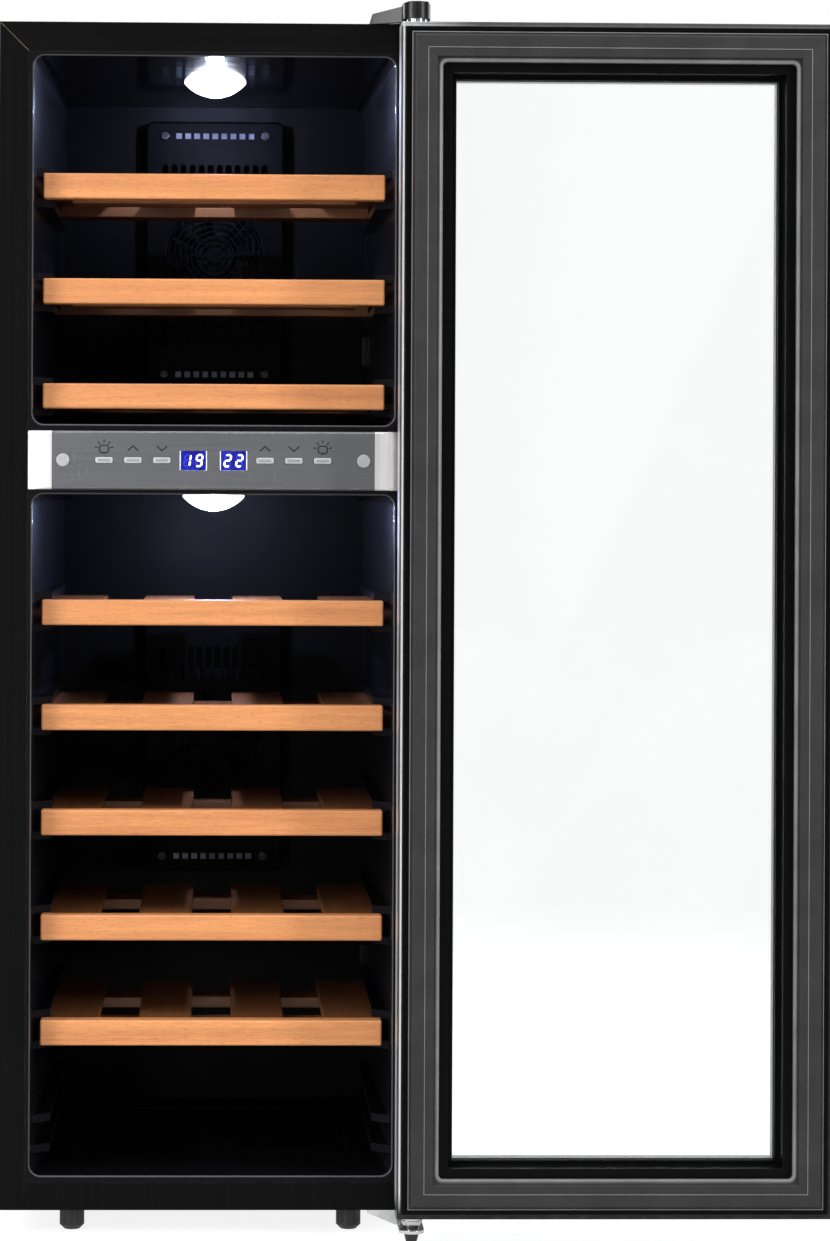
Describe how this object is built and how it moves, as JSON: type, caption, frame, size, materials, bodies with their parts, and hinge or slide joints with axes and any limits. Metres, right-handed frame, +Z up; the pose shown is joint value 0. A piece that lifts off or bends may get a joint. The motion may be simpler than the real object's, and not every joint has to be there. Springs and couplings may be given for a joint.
{
  "type": "wine cooler",
  "caption": "Slim upright two-zone wine cooler with a glazed door swung fully open, wooden slide-out shelves, a brushed control panel between the zones, ceiling lamps and rear fan covers.",
  "frame": {"origin": "on the floor, under the middle of the cabinet's footprint (the door isn't counted)", "axes": "+X to the right seen from the front, +Y from the front to the back, +Z up; the door is stored open by half a turn, its inner side facing -Y"},
  "size_m": [0.665, 0.5176, 0.9865],
  "materials": {
    "black_steel": "satin",
    "liner_plastic": "gloss",
    "foam": "matte",
    "brushed_panel": "satin",
    "bright_metal": "polished",
    "bright_metal_plastic": "satin",
    "display": "gloss",
    "electronics": "matte",
    "circuit_board": "satin",
    "lamp_diffuser": "gloss",
    "cover_plastic": "satin",
    "black_screw": "satin",
    "fan_plastic": "satin",
    "sink_aluminium": "satin",
    "module_ceramic": "matte",
    "supply_case": "satin",
    "black_plastic": "satin",
    "zinc_steel": "polished",
    "foot_plastic": "satin",
    "trim_metal": "satin",
    "frame_plastic": "satin",
    "bush_nylon": "satin",
    "door_glass": "gloss",
    "spacer_aluminium": "satin",
    "gasket_rubber": "matte",
    "beech": "satin"
  },
  "bodies": {
    "cabinet": {"cabinet_wrapper": "black_steel", "base_pan": "black_steel", "back_panel": "black_steel", "upper_liner": "liner_plastic", "lower_liner": "liner_plastic", "insulation_foam": "foam", "control_bezel": "brushed_panel", "bezel_caps": "bright_metal", "display_windows": "display", "display_modules": "electronics", "control_board": "circuit_board", "upper_lamp_lens": "lamp_diffuser", "lower_lamp_lens": "lamp_diffuser", "lamp_boards": "circuit_board", "upper_fan_cover": "cover_plastic", "lower_fan_cover": "cover_plastic", "cover_screws": "black_screw", "cold_fan_frames": "fan_plastic", "hot_fan_frames": "fan_plastic", "cold_sinks": "sink_aluminium", "peltier_modules": "module_ceramic", "hot_sinks": "sink_aluminium", "power_supply": "supply_case", "mains_inlet": "black_plastic", "temperature_probes": "black_plastic", "top_hinge_plate": "zinc_steel", "top_hinge_cover": "black_plastic", "bottom_hinge_bracket": "zinc_steel", "hinge_pins": "zinc_steel", "hinge_washers": "zinc_steel", "cabinet_screws": "black_screw", "rear_feet": "foot_plastic", "hinge_foot": "foot_plastic"},
    "door": {"door_trim": "trim_metal", "door_frame": "frame_plastic", "door_bushes": "bush_nylon", "outer_glass": "door_glass", "inner_glass": "door_glass", "glass_spacer": "spacer_aluminium", "door_gasket": "gasket_rubber"},
    "shelf_1": {"shelf_1": "beech"},
    "shelf_2": {"shelf_2": "beech"},
    "shelf_3": {"shelf_3": "beech"},
    "shelf_4": {"shelf_4": "beech"},
    "shelf_5": {"shelf_5": "beech"},
    "shelf_6": {"shelf_6": "beech"},
    "shelf_7": {"shelf_7": "beech"},
    "shelf_8": {"shelf_8": "beech"},
    "upper_lamp_button": {"upper_lamp_button": "bright_metal_plastic"},
    "upper_warmer_button": {"upper_warmer_button": "bright_metal_plastic"},
    "upper_cooler_button": {"upper_cooler_button": "bright_metal_plastic"},
    "lower_warmer_button": {"lower_warmer_button": "bright_metal_plastic"},
    "lower_cooler_button": {"lower_cooler_button": "bright_metal_plastic"},
    "lower_lamp_button": {"lower_lamp_button": "bright_metal_plastic"},
    "upper_cold_fan_rotor": {"upper_cold_fan_rotor": "fan_plastic"},
    "upper_hot_fan_rotor": {"upper_hot_fan_rotor": "fan_plastic"},
    "lower_cold_fan_rotor": {"lower_cold_fan_rotor": "fan_plastic"},
    "lower_hot_fan_rotor": {"lower_hot_fan_rotor": "fan_plastic"},
    "front_left_foot": {"front_left_foot": "foot_plastic"},
    "front_right_foot": {"front_right_foot": "foot_plastic"}
  },
  "joints": [
    {"name": "door_hinge", "type": "hinge", "parent": "cabinet", "child": "door", "pos_m": [0.16, -0.258, 0.496], "axis": [0, 0, 1], "range_deg": [-180, 0]},
    {"name": "shelf_1_slide", "type": "slide", "parent": "cabinet", "child": "shelf_1", "axis": [0, -1, 0], "range_m": [0, 0.2]},
    {"name": "shelf_2_slide", "type": "slide", "parent": "cabinet", "child": "shelf_2", "axis": [0, -1, 0], "range_m": [0, 0.2]},
    {"name": "shelf_3_slide", "type": "slide", "parent": "cabinet", "child": "shelf_3", "axis": [0, -1, 0], "range_m": [0, 0.2]},
    {"name": "shelf_4_slide", "type": "slide", "parent": "cabinet", "child": "shelf_4", "axis": [0, -1, 0], "range_m": [0, 0.2]},
    {"name": "shelf_5_slide", "type": "slide", "parent": "cabinet", "child": "shelf_5", "axis": [0, -1, 0], "range_m": [0, 0.2]},
    {"name": "shelf_6_slide", "type": "slide", "parent": "cabinet", "child": "shelf_6", "axis": [0, -1, 0], "range_m": [0, 0.2]},
    {"name": "shelf_7_slide", "type": "slide", "parent": "cabinet", "child": "shelf_7", "axis": [0, -1, 0], "range_m": [0, 0.2]},
    {"name": "shelf_8_slide", "type": "slide", "parent": "cabinet", "child": "shelf_8", "axis": [0, -1, 0], "range_m": [0, 0.2]},
    {"name": "upper_lamp_button_press", "type": "slide", "parent": "cabinet", "child": "upper_lamp_button", "axis": [0, 1, 0], "range_m": [0, 0.0008], "stiffness_N_per_m": 800},
    {"name": "upper_warmer_button_press", "type": "slide", "parent": "cabinet", "child": "upper_warmer_button", "axis": [0, 1, 0], "range_m": [0, 0.0008], "stiffness_N_per_m": 800},
    {"name": "upper_cooler_button_press", "type": "slide", "parent": "cabinet", "child": "upper_cooler_button", "axis": [0, 1, 0], "range_m": [0, 0.0008], "stiffness_N_per_m": 800},
    {"name": "lower_warmer_button_press", "type": "slide", "parent": "cabinet", "child": "lower_warmer_button", "axis": [0, 1, 0], "range_m": [0, 0.0008], "stiffness_N_per_m": 800},
    {"name": "lower_cooler_button_press", "type": "slide", "parent": "cabinet", "child": "lower_cooler_button", "axis": [0, 1, 0], "range_m": [0, 0.0008], "stiffness_N_per_m": 800},
    {"name": "lower_lamp_button_press", "type": "slide", "parent": "cabinet", "child": "lower_lamp_button", "axis": [0, 1, 0], "range_m": [0, 0.0008], "stiffness_N_per_m": 800},
    {"name": "upper_cold_fan_spin", "type": "hinge", "parent": "cabinet", "child": "upper_cold_fan_rotor", "pos_m": [0, 0.1242, 0.81], "axis": [0, 1, 0], "continuous": true},
    {"name": "upper_hot_fan_spin", "type": "hinge", "parent": "cabinet", "child": "upper_hot_fan_rotor", "pos_m": [0, 0.2018, 0.81], "axis": [0, 1, 0], "continuous": true},
    {"name": "lower_cold_fan_spin", "type": "hinge", "parent": "cabinet", "child": "lower_cold_fan_rotor", "pos_m": [0, 0.1242, 0.3775], "axis": [0, 1, 0], "continuous": true},
    {"name": "lower_hot_fan_spin", "type": "hinge", "parent": "cabinet", "child": "lower_hot_fan_rotor", "pos_m": [0, 0.2018, 0.3775], "axis": [0, 1, 0], "continuous": true},
    {"name": "front_left_foot_turn", "type": "hinge", "parent": "cabinet", "child": "front_left_foot", "pos_m": [-0.112, -0.195, 0], "axis": [0, 0, 1], "range_deg": [0, 1800]},
    {"name": "front_right_foot_turn", "type": "hinge", "parent": "cabinet", "child": "front_right_foot", "pos_m": [0.112, -0.195, 0], "axis": [0, 0, 1], "range_deg": [0, 1800]}
  ]
}
